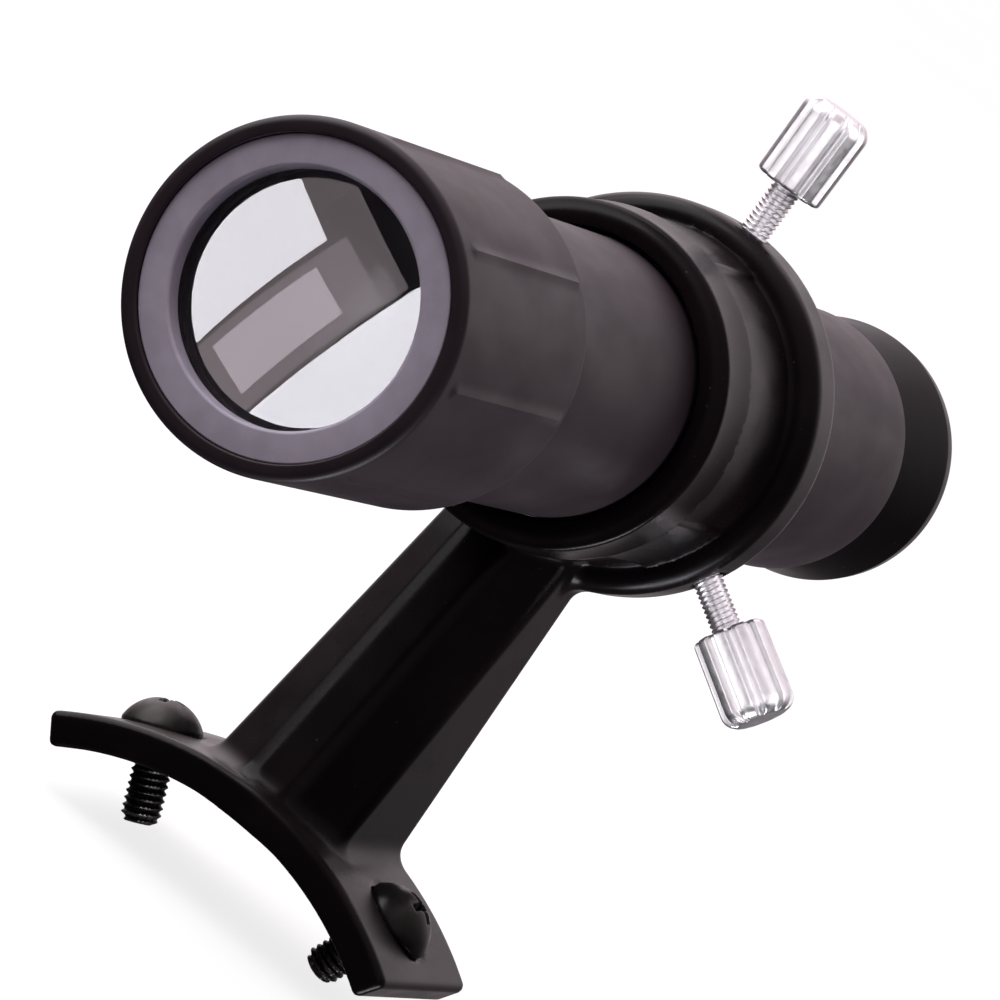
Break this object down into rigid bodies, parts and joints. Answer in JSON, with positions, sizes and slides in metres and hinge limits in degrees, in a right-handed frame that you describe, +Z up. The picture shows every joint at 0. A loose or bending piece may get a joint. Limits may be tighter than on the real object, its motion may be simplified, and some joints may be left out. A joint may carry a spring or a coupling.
{
  "type": "finder scope",
  "caption": "Small straight-through finder scope in a one-piece moulded bracket: a ring with knurled adjusting screws on a raked leg and a curved saddle that fits a telescope tube.",
  "frame": {"origin": "middle of the saddle's concave seat, on the surface of the telescope tube it sits on, under the leg", "axes": "+Z up through the leg to the finder axis, +Y along the optical axis towards the eyepiece, +X to the right when looking towards +Y from in front of the objective lens"},
  "size_m": [0.0604, 0.1635, 0.0947],
  "materials": {
    "satin_black_plastic": "satin black moulded plastic with a fine grain",
    "gloss_black_moulding": "semi-gloss black moulded plastic",
    "ring_plastic": "satin dark grey, turned face",
    "inner_black": "flat black",
    "focus_ring_plastic": "semi-gloss black",
    "rubber": "matt black rubber",
    "lens_glass": "polished, thin coating",
    "screw_plating": "bright nickel plating",
    "black_screw_steel": "black oxide steel",
    "fine_wire": "fine drawn wire, blackened"
  },
  "bodies": {
    "bracket": {"mount_bracket": "gloss_black_moulding", "pivot_o_ring": "rubber", "foot_screws": "black_screw_steel"},
    "tube": {"main_tube": "satin_black_plastic", "objective_cell": "satin_black_plastic", "objective_retaining_ring": "ring_plastic", "objective_crown_lens": "lens_glass", "objective_spacer": "inner_black", "objective_flint_lens": "lens_glass", "tube_baffle": "inner_black", "reticle_ring": "inner_black", "crosshair_wires": "fine_wire"},
    "eyepiece": {"eyepiece_barrel": "inner_black", "field_lens": "lens_glass", "eyepiece_spacer": "inner_black", "eye_lens": "lens_glass", "eye_retaining_ring": "inner_black"},
    "focus_ring": {"focus_ring": "focus_ring_plastic"},
    "top_stud": {"adjusting_stud_top": "screw_plating"},
    "top_knob": {"adjusting_knob_top": "screw_plating"},
    "right_stud": {"adjusting_stud_right": "screw_plating"},
    "right_knob": {"adjusting_knob_right": "screw_plating"},
    "left_stud": {"adjusting_stud_left": "screw_plating"},
    "left_knob": {"adjusting_knob_left": "screw_plating"}
  },
  "joints": [
    {"name": "top_stud_travel", "type": "slide", "parent": "bracket", "child": "top_stud", "axis": [0, 0, 1], "range_m": [-0.0008, 0.0008]},
    {"name": "top_knob_turn", "type": "hinge", "parent": "top_stud", "child": "top_knob", "pos_m": [0, 0.011, 0.052], "axis": [0, 0, 1], "range_deg": [-580, 580]},
    {"name": "right_stud_travel", "type": "slide", "parent": "bracket", "child": "right_stud", "axis": [0.866, 0, -0.5], "range_m": [-0.00045, 0.00045]},
    {"name": "right_knob_turn", "type": "hinge", "parent": "right_stud", "child": "right_knob", "pos_m": [0, 0.011, 0.052], "axis": [0.866, 0, -0.5], "range_deg": [-295, 295]},
    {"name": "left_stud_travel", "type": "slide", "parent": "bracket", "child": "left_stud", "axis": [-0.866, 0, -0.5], "range_m": [-0.00045, 0.00045]},
    {"name": "left_knob_turn", "type": "hinge", "parent": "left_stud", "child": "left_knob", "pos_m": [0, 0.011, 0.052], "axis": [-0.866, 0, -0.5], "range_deg": [-295, 295]},
    {"name": "tube_tilt", "type": "hinge", "parent": "bracket", "child": "tube", "pos_m": [0, -0.0117, 0.052], "axis": [1, 0, 0], "range_deg": [-2.1, 2.1]},
    {"name": "eyepiece_travel", "type": "slide", "parent": "tube", "child": "eyepiece", "axis": [0, 1, 0], "range_m": [-0.0015, 0.0015]},
    {"name": "focus_ring_turn", "type": "hinge", "parent": "eyepiece", "child": "focus_ring", "pos_m": [0, 0.06, 0.052], "axis": [0, 1, 0], "range_deg": [-545, 545]}
  ],
  "couplings": [
    {"joint": "top_knob_turn", "follows": "top_stud_travel", "rad_per_m": 12566},
    {"joint": "tube_tilt", "follows": "top_stud_travel", "rad_per_m": 44.053},
    {"joint": "right_stud_travel", "follows": "top_stud_travel", "ratio": -0.5},
    {"joint": "left_stud_travel", "follows": "top_stud_travel", "ratio": -0.5},
    {"joint": "right_knob_turn", "follows": "top_stud_travel", "rad_per_m": -6283.2},
    {"joint": "left_knob_turn", "follows": "top_stud_travel", "rad_per_m": -6283.2},
    {"joint": "focus_ring_turn", "follows": "eyepiece_travel", "rad_per_m": 6283.2}
  ]
}
